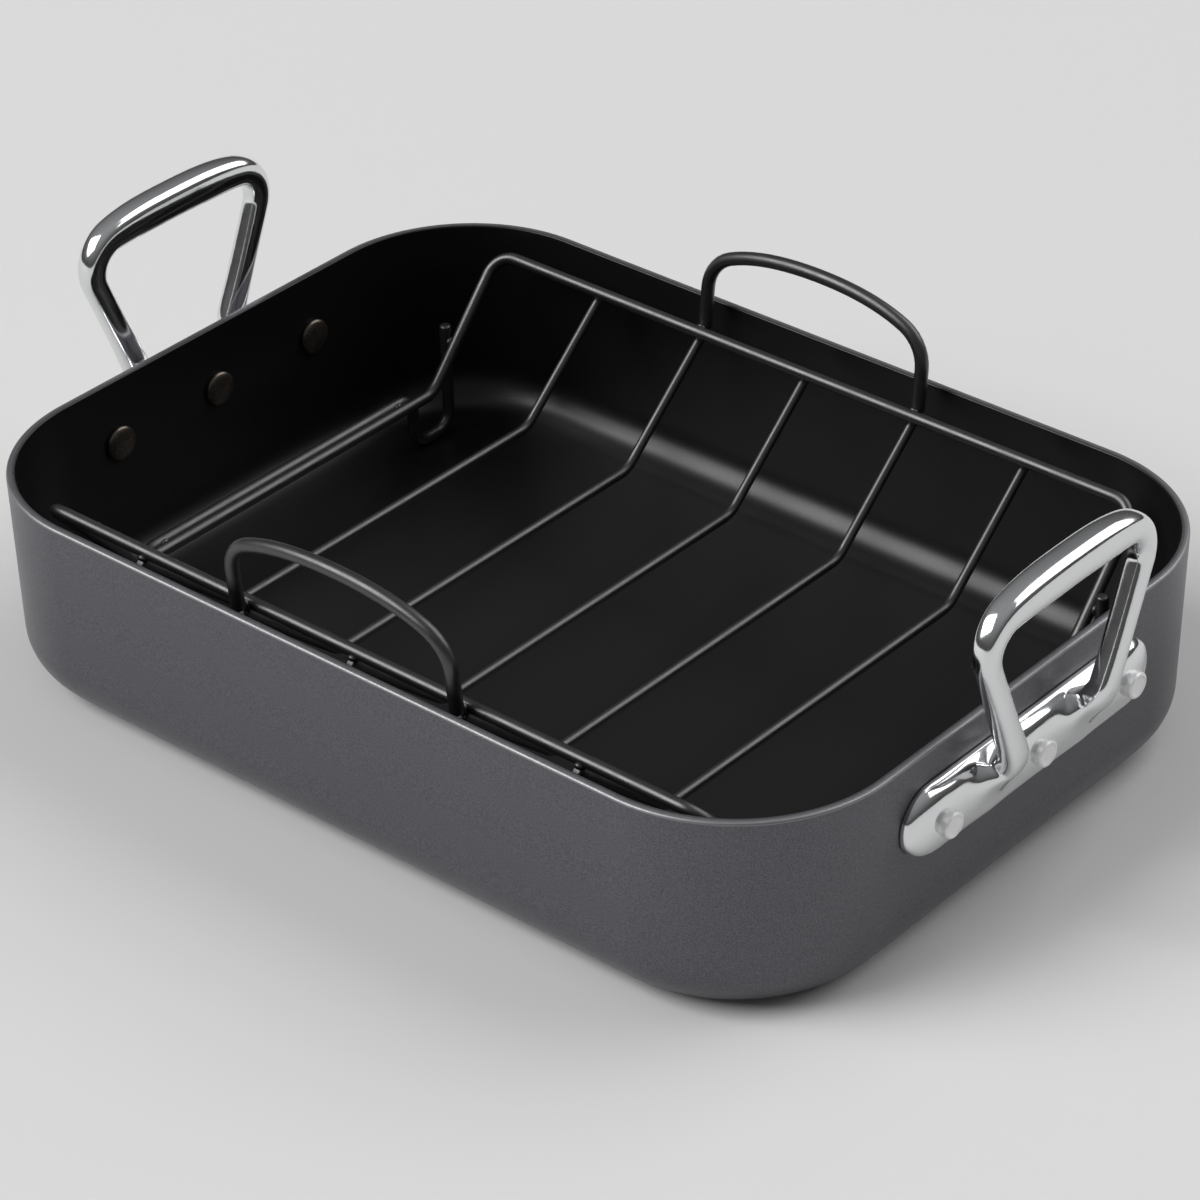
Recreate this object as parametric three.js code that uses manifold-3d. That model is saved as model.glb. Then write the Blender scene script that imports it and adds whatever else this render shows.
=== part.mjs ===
// A roasting pan with a lift-out rack, in millimetres, +Z up.
// The origin is on the table under the middle of the pan.
// X runs along the pan from handle to handle, Y across it, and the front is at -Y.

import * as THREE from 'three';
import { mergeVertices } from 'three/addons/utils/BufferGeometryUtils.js';
import Module from 'manifold-3d';

const wasm = await Module();
wasm.setup();

// Pan: one drawn aluminium tub, its length, width and corners measured outside at the rim.
const PAN_LENGTH = 406;
const PAN_WIDTH = 296;
const PAN_HEIGHT = 86;
const PAN_CORNER_RADIUS = 66;
const PAN_BASE_RADIUS = 20;
const PAN_WALL = 3.5;
const PAN_FLOOR = 4;
const WALL_DRAFT = THREE.MathUtils.degToRad(1.3);
const RIM_BEVEL = 0.5;

// Handles: a bail and its flange cast in one piece, riveted to each end wall.
const FLANGE_LENGTH = 146;
const FLANGE_HEIGHT = 29;
const FLANGE_THICKNESS = 8.2;
const FLANGE_EDGE = 1.6;
const FLANGE_LAND = 8;
const FLANGE_BELOW_RIM = 28;
const BAIL_ROOT_SPAN = 54;
const BAIL_ROOT_RISE = 4;
const BAIL_ELBOW_STANDOFF = 14.6;
const BAIL_ELBOW_SPAN = 49;
const BAIL_ELBOW_RISE = 10;
const BAIL_ELBOW_RADIUS = 14;
const BAIL_TOP_SPAN = 103;
const BAIL_SHOULDER_RADIUS = 14;
const GRIP_STANDOFF = 13.1;
const GRIP_ABOVE_RIM = 53.5;
const GRIP_CROWN = 6;
const GRIP_THICKNESS = 13;
const GRIP_DEPTH = 14.5;
const LEG_THICKNESS = 9.6;
const BAIL_SQUARENESS = 2.8;

// Rivets: a shank through wall and flange, a flat dome inside and a turned head outside.
const RIVET_COUNT = 3;
const RIVET_END_INSET = 17.2;
const RIVET_SHANK = 6.5;
const RIVET_DOME = 15;
const RIVET_DOME_HEIGHT = 2.6;
const RIVET_DOME_EDGE = 0.7;
const RIVET_HEAD = 10.6;
const RIVET_HEAD_HEIGHT = 2.6;
const RIVET_HEAD_BEVEL = 1;
const RIVET_HOLE_CLEARANCE = 0.3;
const SEAT_GAP = 0.3;

// Rack: a bent wire frame with cross wires, feet and lifting handles welded on.
// Its heights are measured from the pan floor that it stands on.
const FRAME_WIRE = 5;
const CROSS_WIRE = 4;
const FOOT_WIRE = 5;
const LIFT_WIRE = 5.6;
const RACK_SIDE_CLEARANCE = 12.5;
const RACK_END_CLEARANCE = 36;
const RAIL_ABOVE_FLOOR = 75;
const FRAME_BOTTOM_ABOVE_FLOOR = 26.5;
const FRAME_BOTTOM_WIDTH = 172;
const RAIL_BEND_RADIUS = 10;
const BOTTOM_BEND_RADIUS = 12;
const CROSS_COUNT = 5;
const CROSS_BOTTOM_ABOVE_FLOOR = 30.5;
const CROSS_SLOPE = THREE.MathUtils.degToRad(40.5);
const CROSS_END_OVERLAP = 1;
const FOOT_WELD_ABOVE_BOTTOM = 17;
const FOOT_END_ABOVE_WELD = 7.5;
const FOOT_LOOP_WIDTH = 22;
const FOOT_BEND_RADIUS = 8;
const LIFT_ABOVE_RAIL = 40;
const LIFT_CROWN = 11.5;
const LIFT_BEND_RADIUS = 17;
const LIFT_LEAN = THREE.MathUtils.degToRad(6);
const WELD_GAP = 0.3;

// Facets
const CORNER_STEPS = 10;
const BASE_STEPS = 6;
const BEND_STEP = THREE.MathUtils.degToRad(15);
const CROWN_STEPS = 6;
const WIRE_SIDES = 8;
const BAIL_SIDES = 16;
const RIVET_SIDES = 20;
const FLANGE_END_STEPS = 10;
const FLANGE_SHOULDER_STEPS = 4;
const DOME_STEPS = 4;
const MERGE_DISTANCE = 1e-5;

// Finishes
const ANODISED = { color: 0x4a4a4e, roughness: 0.55, metalness: 0.6 };
const POLISHED = { color: 0xc9ccd1, roughness: 0.12, metalness: 1 };
const SATIN = { color: 0xd6d7d9, roughness: 0.45, metalness: 0.9 };
const COATED = { color: 0x161617, roughness: 0.38, metalness: 0.2 };

const vec = (x, y, z) => new THREE.Vector3(x, y, z);

/** A named sub-part with its own material. */
function piece(name, geometry, finish) {
  const mesh = new THREE.Mesh(geometry, new THREE.MeshStandardMaterial(finish));
  mesh.name = name;
  return mesh;
}

/** A closed geometry as a solid that can be cut and joined. */
function solidFrom(geometry) {
  const plain = geometry.clone();
  plain.deleteAttribute('normal');
  plain.deleteAttribute('uv');
  const merged = mergeVertices(plain, MERGE_DISTANCE);
  return new wasm.Manifold(new wasm.Mesh({
    numProp: 3,
    vertProperties: merged.attributes.position.array,
    triVerts: Uint32Array.from(merged.index.array),
  }));
}

/** A solid as a geometry. */
function geometryFrom(solid) {
  const { vertProperties, triVerts } = solid.getMesh();
  const geometry = new THREE.BufferGeometry();
  geometry.setAttribute('position', new THREE.BufferAttribute(vertProperties, 3));
  geometry.setIndex(new THREE.BufferAttribute(triVerts, 1));
  geometry.computeVertexNormals();
  return geometry;
}

/** A skin over rings of equal count, each counter-clockwise seen from ahead, with flat ends. */
function loft(rings) {
  const count = rings[0].length;
  const last = (rings.length - 1) * count;
  const faces = [];
  for (let base = 0; base < last; base += count) {
    for (let i = 0; i < count; i++) {
      const j = (i + 1) % count;
      faces.push(base + i, base + j, base + count + j);
      faces.push(base + i, base + count + j, base + count + i);
    }
  }
  for (let i = 1; i + 1 < count; i++) {
    faces.push(0, i + 1, i);
    faces.push(last, last + i, last + i + 1);
  }
  const geometry = new THREE.BufferGeometry().setFromPoints(rings.flat());
  geometry.setIndex(faces);
  geometry.computeVertexNormals();
  return geometry;
}

/** The arc that rounds the corner at a point, from the run before it to the run after it. */
function roundCorner(before, at, after, radius) {
  const back = before.clone().sub(at).normalize();
  const ahead = after.clone().sub(at).normalize();
  const half = back.angleTo(ahead) / 2;
  const centre = back.clone().add(ahead).setLength(radius / Math.sin(half)).add(at);
  const spoke = at.clone().addScaledVector(back, radius / Math.tan(half)).sub(centre);
  const turn = Math.PI - 2 * half;
  const steps = Math.max(1, Math.ceil(turn / BEND_STEP));
  return Array.from({ length: steps + 1 }, (_, i) => {
    const angle = (turn * i) / steps;
    return centre.clone()
      .addScaledVector(spoke, Math.cos(angle))
      .addScaledVector(back, -radius * Math.sin(angle));
  });
}

/** Straight runs between corners, each inner corner bent to its radius. */
function bentLine(corners, radii) {
  const bends = radii.map((radius, i) => roundCorner(corners[i], corners[i + 1], corners[i + 2], radius));
  return [corners[0], ...bends.flat(), corners.at(-1)];
}

/** Straight runs around a closed loop of corners, each bent to its radius. */
function bentLoop(corners, radii) {
  const count = corners.length;
  return corners.flatMap((corner, i) => (
    roundCorner(corners.at(i - 1), corner, corners[(i + 1) % count], radii[i])
  ));
}

/** A wire's centre line, with one step from each of its points to the next. */
class WireLine extends THREE.Curve {
  constructor(points, closed = false) {
    super();
    this.points = points;
    this.steps = closed ? points.length : points.length - 1;
    this.closed = closed;
  }

  pointAt(index) {
    const count = this.points.length;
    return this.points[this.closed ? (index + count) % count : THREE.MathUtils.clamp(index, 0, count - 1)];
  }

  getPoint(t, target = new THREE.Vector3()) {
    const index = Math.min(Math.floor(t * this.steps), this.steps - 1);
    return target.lerpVectors(this.pointAt(index), this.pointAt(index + 1), t * this.steps - index);
  }

  getPointAt(u, target) {
    return this.getPoint(u, target);
  }

  getTangentAt(u, target = new THREE.Vector3()) {
    const index = Math.round(u * this.steps);
    const here = this.pointAt(index);
    const ahead = this.pointAt(index + 1).clone().sub(here).normalize();
    const behind = here.clone().sub(this.pointAt(index - 1)).normalize();
    return target.addVectors(ahead, behind).normalize();
  }
}

/** A round wire along an open line, with flat ends. */
function wire(points, diameter) {
  const line = new WireLine(points);
  const section = Array.from({ length: WIRE_SIDES }, (_, i) => {
    const angle = (2 * Math.PI * i) / WIRE_SIDES;
    return new THREE.Vector2(Math.cos(angle), Math.sin(angle)).multiplyScalar(diameter / 2);
  });
  return new THREE.ExtrudeGeometry(new THREE.Shape(section), {
    steps: line.steps,
    extrudePath: line,
    bevelEnabled: false,
  });
}

/** A round wire along a closed loop. */
function wireLoop(points, diameter) {
  const line = new WireLine(points, true);
  return new THREE.TubeGeometry(line, line.steps, diameter / 2, WIRE_SIDES, true);
}

// The pan's section: insets from the rim's outline and heights, for the outer and the inner skin.
const wallAcross = PAN_WALL / Math.cos(WALL_DRAFT);
const wallInset = (height) => Math.tan(WALL_DRAFT) * (PAN_HEIGHT - height);
const innerHalfLength = PAN_LENGTH / 2 - wallAcross;
const innerHalfWidth = PAN_WIDTH / 2 - wallAcross;

/** A quarter round from a floor at a height up into a wall that stands in from the rim's outline. */
function baseRound(radius, floor, wallOffset) {
  const centre = wallOffset + radius / Math.cos(WALL_DRAFT) + wallInset(floor + radius);
  return Array.from({ length: BASE_STEPS + 1 }, (_, i) => {
    const angle = ((Math.PI / 2 - WALL_DRAFT) * i) / BASE_STEPS;
    return [centre - radius * Math.sin(angle), floor + radius * (1 - Math.cos(angle))];
  });
}

/** The pan's outline drawn in by an inset at a height, counter-clockwise seen from above. */
function panRing([inset, height]) {
  const cornerX = PAN_LENGTH / 2 - PAN_CORNER_RADIUS;
  const cornerY = PAN_WIDTH / 2 - PAN_CORNER_RADIUS;
  const radius = PAN_CORNER_RADIUS - inset;
  return [[1, 1], [-1, 1], [-1, -1], [1, -1]].flatMap(([sideX, sideY], quarter) => (
    Array.from({ length: CORNER_STEPS + 1 }, (_, i) => {
      const angle = ((quarter + i / CORNER_STEPS) * Math.PI) / 2;
      const x = sideX * cornerX + radius * Math.cos(angle);
      return vec(x, sideY * cornerY + radius * Math.sin(angle), height);
    })
  ));
}

/** The tub without its rivet holes. */
function panShell() {
  const outside = baseRound(PAN_BASE_RADIUS, 0, 0);
  const inside = baseRound(PAN_BASE_RADIUS - PAN_WALL, PAN_FLOOR, wallAcross);
  const bevelled = PAN_HEIGHT - RIM_BEVEL;
  const rim = [
    [wallInset(bevelled), bevelled],
    [RIM_BEVEL, PAN_HEIGHT],
    [wallAcross - RIM_BEVEL, PAN_HEIGHT],
    [wallAcross + wallInset(bevelled), bevelled],
  ];
  return loft([...outside, ...rim, ...inside.reverse()].map(panRing));
}

// Handle coordinates: x outward from the wall's outer face, y along the wall, z up it,
// with the origin on the wall at the middle rivet.
const rivetHeight = PAN_HEIGHT - FLANGE_BELOW_RIM;
const flangeFace = SEAT_GAP + FLANGE_THICKNESS;
const rivetPitch = (FLANGE_LENGTH - 2 * RIVET_END_INSET) / (RIVET_COUNT - 1);
const rivetOffsets = Array.from({ length: RIVET_COUNT }, (_, i) => (i - (RIVET_COUNT - 1) / 2) * rivetPitch);

/** Cylinders through wall and flange for the rivet shanks, in handle coordinates. */
function rivetDrills() {
  const radius = RIVET_SHANK / 2 + RIVET_HOLE_CLEARANCE;
  const reach = 2 * (flangeFace + PAN_WALL);
  return rivetOffsets.map((offset) => {
    const drill = new THREE.CylinderGeometry(radius, radius, reach, RIVET_SIDES);
    return drill.rotateZ(Math.PI / 2).translate(0, offset, 0);
  });
}

/** The flange: a long plate with round ends, flat behind and crowned in front. */
function flangeGeometry() {
  const endRadius = FLANGE_HEIGHT / 2;
  const straight = FLANGE_LENGTH / 2 - endRadius;
  const shoulder = (FLANGE_HEIGHT - FLANGE_LAND) / 2;
  const levels = [[0, 0]];
  for (let i = 0; i <= FLANGE_SHOULDER_STEPS; i++) {
    const angle = ((Math.PI / 2) * i) / FLANGE_SHOULDER_STEPS;
    const rise = FLANGE_EDGE + (FLANGE_THICKNESS - FLANGE_EDGE) * Math.sin(angle);
    levels.push([shoulder * (1 - Math.cos(angle)), rise]);
  }
  return loft(levels.map(([inset, rise]) => [1, -1].flatMap((side) => (
    Array.from({ length: FLANGE_END_STEPS + 1 }, (_, i) => {
      const angle = (Math.PI * i) / FLANGE_END_STEPS;
      const along = side * (straight + (endRadius - inset) * Math.sin(angle));
      return vec(SEAT_GAP + rise, along, -side * (endRadius - inset) * Math.cos(angle));
    })
  ))));
}

/** Half of the bail's centre line, from the middle of the grip down to its root in the flange. */
function bailLine() {
  const grip = FLANGE_BELOW_RIM + GRIP_ABOVE_RIM;
  const top = vec(GRIP_STANDOFF, 0, grip);
  const crown = vec(GRIP_STANDOFF, BAIL_TOP_SPAN / 4, grip);
  const shoulder = vec(GRIP_STANDOFF, BAIL_TOP_SPAN / 2, grip - GRIP_CROWN);
  const elbow = vec(BAIL_ELBOW_STANDOFF, BAIL_ELBOW_SPAN / 2, BAIL_ELBOW_RISE);
  const root = vec(SEAT_GAP + FLANGE_THICKNESS / 2, BAIL_ROOT_SPAN / 2, BAIL_ROOT_RISE);
  const bends = bentLine([crown, shoulder, elbow, root], [BAIL_SHOULDER_RADIUS, BAIL_ELBOW_RADIUS]);
  const bow = new THREE.QuadraticBezierCurve3(top, crown, bends[1]);
  return [...bow.getPoints(CROWN_STEPS), ...bends.slice(2)];
}

/** The bail: rounded square rings along its centre line, thick at the grip and slimmer in the legs. */
function bailGeometry() {
  const line = new WireLine(bailLine());
  const lengths = [0];
  line.points.slice(1).forEach((point, i) => lengths.push(lengths[i] + point.distanceTo(line.points[i])));
  const across = vec(1, 0, 0);
  let heading = vec(0, 1, 0);
  const half = line.points.map((point, station) => {
    const ahead = station === 0 ? heading : line.getTangentAt(station / line.steps);
    across.applyQuaternion(new THREE.Quaternion().setFromUnitVectors(heading, ahead));
    heading = ahead;
    const beside = across.clone().cross(ahead).negate();
    const slim = THREE.MathUtils.smoothstep(lengths[station], BAIL_TOP_SPAN / 8, BAIL_TOP_SPAN * 0.62);
    const thickness = THREE.MathUtils.lerp(GRIP_THICKNESS, LEG_THICKNESS, slim);
    const depth = THREE.MathUtils.lerp(GRIP_DEPTH, LEG_THICKNESS, slim);
    return Array.from({ length: BAIL_SIDES }, (_, i) => {
      const angle = (2 * Math.PI * (i + 0.5)) / BAIL_SIDES;
      const square = (value) => Math.sign(value) * Math.abs(value) ** (2 / BAIL_SQUARENESS);
      return point.clone()
        .addScaledVector(across, (thickness / 2) * square(Math.cos(angle)))
        .addScaledVector(beside, (depth / 2) * square(Math.sin(angle)));
    });
  });
  const mirrored = half.slice(1).reverse().map((ring) => ring.map((p) => vec(p.x, -p.y, p.z)));
  return loft([...mirrored, ...half]);
}

/** One handle: bail and flange joined, with the rivet holes through the flange. */
function handleGeometry() {
  let handle = solidFrom(flangeGeometry()).add(solidFrom(bailGeometry()));
  for (const drill of rivetDrills()) {
    handle = handle.subtract(solidFrom(drill));
  }
  return geometryFrom(handle);
}

/** One rivet, with its axis along x from the dome inside the pan to the head outside. */
function rivetGeometry() {
  const shank = RIVET_SHANK / 2;
  const dome = RIVET_DOME / 2;
  const head = RIVET_HEAD / 2;
  const domeSeat = -PAN_WALL - SEAT_GAP;
  const headSeat = flangeFace + SEAT_GAP;
  const headFace = headSeat + RIVET_HEAD_HEIGHT;
  const profile = [];
  for (let i = 0; i <= DOME_STEPS; i++) {
    const angle = ((Math.PI / 2) * i) / DOME_STEPS;
    const crown = (RIVET_DOME_HEIGHT - RIVET_DOME_EDGE) * Math.cos(angle);
    profile.push([dome * Math.sin(angle), domeSeat - RIVET_DOME_EDGE - crown]);
  }
  profile.push([dome, domeSeat], [shank, domeSeat], [shank, headSeat], [head, headSeat]);
  profile.push([head, headFace - RIVET_HEAD_BEVEL], [head - RIVET_HEAD_BEVEL, headFace], [0, headFace]);
  const points = profile.map(([radius, along]) => new THREE.Vector2(radius, along));
  return new THREE.LatheGeometry(points, RIVET_SIDES).rotateZ(-Math.PI / 2);
}

/** The handle and rivets of one end wall, in a group that stands square on the sloping wall. */
function panEnd(end, turn, rivetNames) {
  const bracket = new THREE.Group();
  bracket.position.set(PAN_LENGTH / 2 - wallInset(rivetHeight), 0, rivetHeight);
  bracket.rotation.y = WALL_DRAFT;
  bracket.add(piece(`handle_${end}`, handleGeometry(), POLISHED));
  rivetOffsets.forEach((offset, i) => {
    const rivet = piece(`rivet_${end}_${rivetNames[i]}`, rivetGeometry(), SATIN);
    rivet.position.y = offset;
    bracket.add(rivet);
  });
  const wallEnd = new THREE.Group();
  wallEnd.rotation.z = turn;
  wallEnd.add(bracket);
  wallEnd.updateMatrixWorld(true);
  return { wallEnd, bracket };
}

const rightEnd = panEnd('right', 0, ['front', 'middle', 'rear']);
const leftEnd = panEnd('left', Math.PI, ['rear', 'middle', 'front']);

let tub = solidFrom(panShell());
for (const { bracket } of [rightEnd, leftEnd]) {
  for (const drill of rivetDrills()) {
    tub = tub.subtract(solidFrom(drill.applyMatrix4(bracket.matrixWorld)));
  }
}

const pan = new THREE.Group();
pan.add(piece('pan_body', geometryFrom(tub), ANODISED), rightEnd.wallEnd, leftEnd.wallEnd);

// The rack's main lines: rails along the sides, and end frames in planes across the pan.
const railY = innerHalfWidth - RACK_SIDE_CLEARANCE - FRAME_WIRE / 2;
const railZ = PAN_FLOOR + RAIL_ABOVE_FLOOR;
const endX = innerHalfLength - RACK_END_CLEARANCE - FRAME_WIRE / 2;
const frameBottomZ = PAN_FLOOR + FRAME_BOTTOM_ABOVE_FLOOR;
const frameBottomY = FRAME_BOTTOM_WIDTH / 2;
const crossPitch = (2 * endX) / (CROSS_COUNT + 1);

/** The frame: two rails that turn down at each end into a trough-shaped end frame. */
function frameGeometry() {
  const corners = [1, -1].flatMap((end) => [
    vec(end * endX, end * railY, railZ),
    vec(end * endX, end * frameBottomY, frameBottomZ),
    vec(end * endX, -end * frameBottomY, frameBottomZ),
    vec(end * endX, -end * railY, railZ),
  ]);
  const radii = corners.map(({ z }) => (z === railZ ? RAIL_BEND_RADIUS : BOTTOM_BEND_RADIUS));
  return wireLoop(bentLoop(corners, radii), FRAME_WIRE);
}

// A cross wire's side slopes down from the rail that it passes under.
const underRail = (FRAME_WIRE + CROSS_WIRE) / 2 + WELD_GAP;
const crossNormal = new THREE.Vector2(Math.sin(CROSS_SLOPE), -Math.cos(CROSS_SLOPE));
const crossDown = new THREE.Vector2(crossNormal.y, -crossNormal.x);
const crossTop = new THREE.Vector2(railY, railZ)
  .addScaledVector(crossNormal, underRail)
  .addScaledVector(crossDown, -CROSS_END_OVERLAP);

/** A cross wire: a trough from rail to rail, open at the top, in a plane across the pan. */
function crossGeometry() {
  const bottomZ = PAN_FLOOR + CROSS_BOTTOM_ABOVE_FLOOR;
  const bottomY = crossTop.x + ((bottomZ - crossTop.y) * crossDown.x) / crossDown.y;
  const corners = [
    vec(0, -crossTop.x, crossTop.y),
    vec(0, -bottomY, bottomZ),
    vec(0, bottomY, bottomZ),
    vec(0, crossTop.x, crossTop.y),
  ];
  return wire(bentLine(corners, [BOTTOM_BEND_RADIUS, BOTTOM_BEND_RADIUS]), CROSS_WIRE);
}

/** A foot wire: it runs along an end frame's bottom and loops down to the floor at each side.
 *  Past each loop it rises and ends on the frame's slope.
 */
function footGeometry() {
  const sole = PAN_FLOOR + SEAT_GAP + FOOT_WIRE / 2;
  const weldZ = frameBottomZ + FOOT_WELD_ABOVE_BOTTOM;
  const slope = (railY - frameBottomY) / (railZ - frameBottomZ);
  const outer = frameBottomY + FOOT_WELD_ABOVE_BOTTOM * slope;
  const inner = outer - FOOT_LOOP_WIDTH;
  const half = [
    vec(0, inner, frameBottomZ),
    vec(0, inner, sole),
    vec(0, outer, sole),
    vec(0, outer, weldZ + FOOT_END_ABOVE_WELD),
  ];
  const corners = [...half.map(({ y, z }) => vec(0, -y, z)).reverse(), ...half];
  return wire(bentLine(corners, Array(corners.length - 2).fill(FOOT_BEND_RADIUS)), FOOT_WIRE);
}

/** A lifting handle: an arch whose legs end just above the cross wires, measured from the rail. */
function liftGeometry() {
  const side = crossPitch;
  const toe = crossTop.y + CROSS_WIRE / 2 + WELD_GAP - railZ;
  const top = vec(0, 0, LIFT_ABOVE_RAIL);
  const crown = vec(side / 2, 0, LIFT_ABOVE_RAIL);
  const shoulder = vec(side, 0, LIFT_ABOVE_RAIL - LIFT_CROWN);
  const bends = bentLine([crown, shoulder, vec(side, 0, toe)], [LIFT_BEND_RADIUS]);
  const bow = new THREE.QuadraticBezierCurve3(top, crown, bends[1]);
  const half = [...bow.getPoints(CROWN_STEPS), ...bends.slice(2)];
  const mirrored = half.slice(1).reverse().map((p) => vec(-p.x, p.y, p.z));
  return wire([...mirrored, ...half], LIFT_WIRE);
}

const rack = new THREE.Group();
rack.add(piece('rack_frame', frameGeometry(), COATED));

for (let i = 1; i <= CROSS_COUNT; i++) {
  const crossWire = piece(`rack_cross_wire_${i}`, crossGeometry(), COATED);
  crossWire.position.x = i * crossPitch - endX;
  rack.add(crossWire);
}

for (const [side, sign] of [['front', -1], ['back', 1]]) {
  const lift = piece(`rack_handle_${side}`, liftGeometry(), COATED);
  lift.position.set(0, sign * (railY + (FRAME_WIRE + LIFT_WIRE) / 2 + WELD_GAP), railZ);
  lift.rotation.x = -sign * LIFT_LEAN;
  rack.add(lift);
}

for (const [end, sign] of [['left', -1], ['right', 1]]) {
  const foot = piece(`rack_foot_${end}`, footGeometry(), COATED);
  foot.position.x = sign * (endX + (FRAME_WIRE + FOOT_WIRE) / 2 + WELD_GAP);
  rack.add(foot);
}

const roaster = new THREE.Group();
roaster.add(pan, rack);

export default roaster;
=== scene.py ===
import math

import bpy
import numpy as np
from mathutils import Matrix


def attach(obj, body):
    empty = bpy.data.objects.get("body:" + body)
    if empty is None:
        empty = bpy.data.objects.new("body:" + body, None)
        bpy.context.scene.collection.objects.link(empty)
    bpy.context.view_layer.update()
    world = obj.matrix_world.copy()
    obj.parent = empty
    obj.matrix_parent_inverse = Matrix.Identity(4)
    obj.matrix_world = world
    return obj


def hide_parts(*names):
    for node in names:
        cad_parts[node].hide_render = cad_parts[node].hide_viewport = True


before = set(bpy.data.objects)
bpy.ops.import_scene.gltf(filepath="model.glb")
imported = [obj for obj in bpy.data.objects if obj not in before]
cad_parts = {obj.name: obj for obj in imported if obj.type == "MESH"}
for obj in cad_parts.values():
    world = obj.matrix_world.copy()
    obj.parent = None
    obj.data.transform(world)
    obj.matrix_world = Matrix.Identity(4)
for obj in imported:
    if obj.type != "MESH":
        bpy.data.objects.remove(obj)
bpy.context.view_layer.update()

# Pan body: a tub drawn from one aluminium sheet, with rounded corners and base and a rim cut flat.
# The outside is hard-anodised to a matt grey, the inside is sprayed with black non-stick,
# and the rim's outer edge is turned down to a narrow strip of bright metal.
MM = 0.001
PAN_LENGTH, PAN_WIDTH, PAN_HEIGHT = 406.0, 296.0, 86.0
PAN_CORNER_RADIUS = 66.0
PAN_BASE_RADIUS = 20.0
PAN_WALL, PAN_FLOOR = 3.5, 4.0
WALL_DRAFT = math.radians(1.3)
RIM_EDGE_RADIUS, RIM_INNER_RADIUS, BRIGHT_EDGE_WIDTH = 1.1, 0.6, 2.0
CORNER_STEPS, SIDE_STEPS = 28, 8
BASE_STEPS, RIM_STEPS, WALL_ROWS = 20, 5, 9
SUPPORT = 0.5
FLAT_INSETS = (SUPPORT, 6.0, 40.0)
WALL_MARGIN = 0.08
SHARP_EDGE = math.radians(40)
ANODISED_DARK, ANODISED_LIGHT = (0.076, 0.073, 0.083, 1), (0.149, 0.143, 0.161, 1)
NON_STICK_BLACK = (0.005, 0.005, 0.0052, 1)
BARE_ALUMINIUM = (0.27, 0.27, 0.28, 1)
PATTERN_LOW, PATTERN_HIGH = 0.3, 0.7
wall_across = PAN_WALL / math.cos(WALL_DRAFT)


def arc(centre, radius, start, stop, steps):
    """Points centre + radius (cos a, sin a) for angles a from start to stop, as steps + 1 rows."""
    angle = np.linspace(start, stop, steps + 1)
    return np.column_stack([centre[0] + radius * np.cos(angle), centre[1] + radius * np.sin(angle)])


def wall_inset(height):
    """How far the sloping outer wall stands in from the rim's outline at a height."""
    return math.tan(WALL_DRAFT) * (PAN_HEIGHT - height)


def base_round(radius, floor, offset):
    """The quarter round between a floor and a wall, as rows of inset and height."""
    centre = offset + radius / math.cos(WALL_DRAFT) + wall_inset(floor + radius)
    return arc((centre, floor + radius), radius, -math.pi / 2, -math.pi + WALL_DRAFT, BASE_STEPS)


def wall_rows(low, high):
    """Rows of inset and height up a straight wall, with one close to each end to keep the ends flat."""
    close = SUPPORT / PAN_HEIGHT
    share = np.concatenate([[close], np.linspace(WALL_MARGIN, 1 - WALL_MARGIN, WALL_ROWS), [1 - close]])
    return low + (high - low) * share[:, None]


def pan_profile():
    """The tub's section from the middle of its underside, round the rim, to the middle of its floor.

    Rows of inset from the rim's outline and height; the second value gives the finish of the strip above
    each row: 0 on the outside and the inner part of the rim's top, 1 on the rim's bright outer edge
    and 2 on the inside.
    """
    outer = base_round(PAN_BASE_RADIUS, 0.0, 0.0)
    inner = base_round(PAN_BASE_RADIUS - PAN_WALL, PAN_FLOOR, wall_across)[::-1]
    top = PAN_HEIGHT - np.array([RIM_EDGE_RADIUS, RIM_INNER_RADIUS])
    shoulder = wall_across - RIM_INNER_RADIUS
    outer_edge = arc((RIM_EDGE_RADIUS, top[0]), RIM_EDGE_RADIUS, math.pi, math.pi / 2, RIM_STEPS)
    inner_edge = arc((shoulder, top[1]), RIM_INNER_RADIUS, math.pi / 2, 0, RIM_STEPS)
    land = np.array([[BRIGHT_EDGE_WIDTH, PAN_HEIGHT], [shoulder - SUPPORT, PAN_HEIGHT]])
    flat = np.column_stack([FLAT_INSETS, np.zeros(len(FLAT_INSETS))])
    outside = np.vstack([outer[0] + flat[::-1], outer, wall_rows(outer[-1], outer_edge[0])])
    inside = np.vstack([inner_edge, wall_rows(inner_edge[-1], inner[0]), inner, inner[-1] + flat])
    finish_of_strip = np.repeat([0, 1, 0, 2], [len(outside), RIM_STEPS + 1, len(land), len(inside)])
    return np.vstack([outside, outer_edge, land, inside]), finish_of_strip


def pan_outline():
    """The rim's outline as centres and outward normals: centre + normal (radius - inset) is a point.

    Quarter turns round the four corner centres, with straight runs between them.
    """
    corner = np.array([[1, 1], [-1, 1], [-1, -1], [1, -1]]) * (
        np.array([PAN_LENGTH, PAN_WIDTH]) / 2 - PAN_CORNER_RADIUS)
    angle = (np.arange(4)[:, None] + np.linspace(0, 1, CORNER_STEPS + 1)) * math.pi / 2
    turn_normal = np.stack([np.cos(angle), np.sin(angle)], -1)
    turn_centre = np.broadcast_to(corner[:, None], turn_normal.shape)
    share = np.linspace(0, 1, SIDE_STEPS + 1)[1:-1, None]
    run_centre = corner[:, None] + share * (np.roll(corner, -1, 0) - corner)[:, None]
    run_normal = np.broadcast_to(turn_normal[:, -1:], run_centre.shape)
    centres = np.concatenate([turn_centre, run_centre], 1).reshape(-1, 2)
    return centres, np.concatenate([turn_normal, run_normal], 1).reshape(-1, 2)


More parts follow.
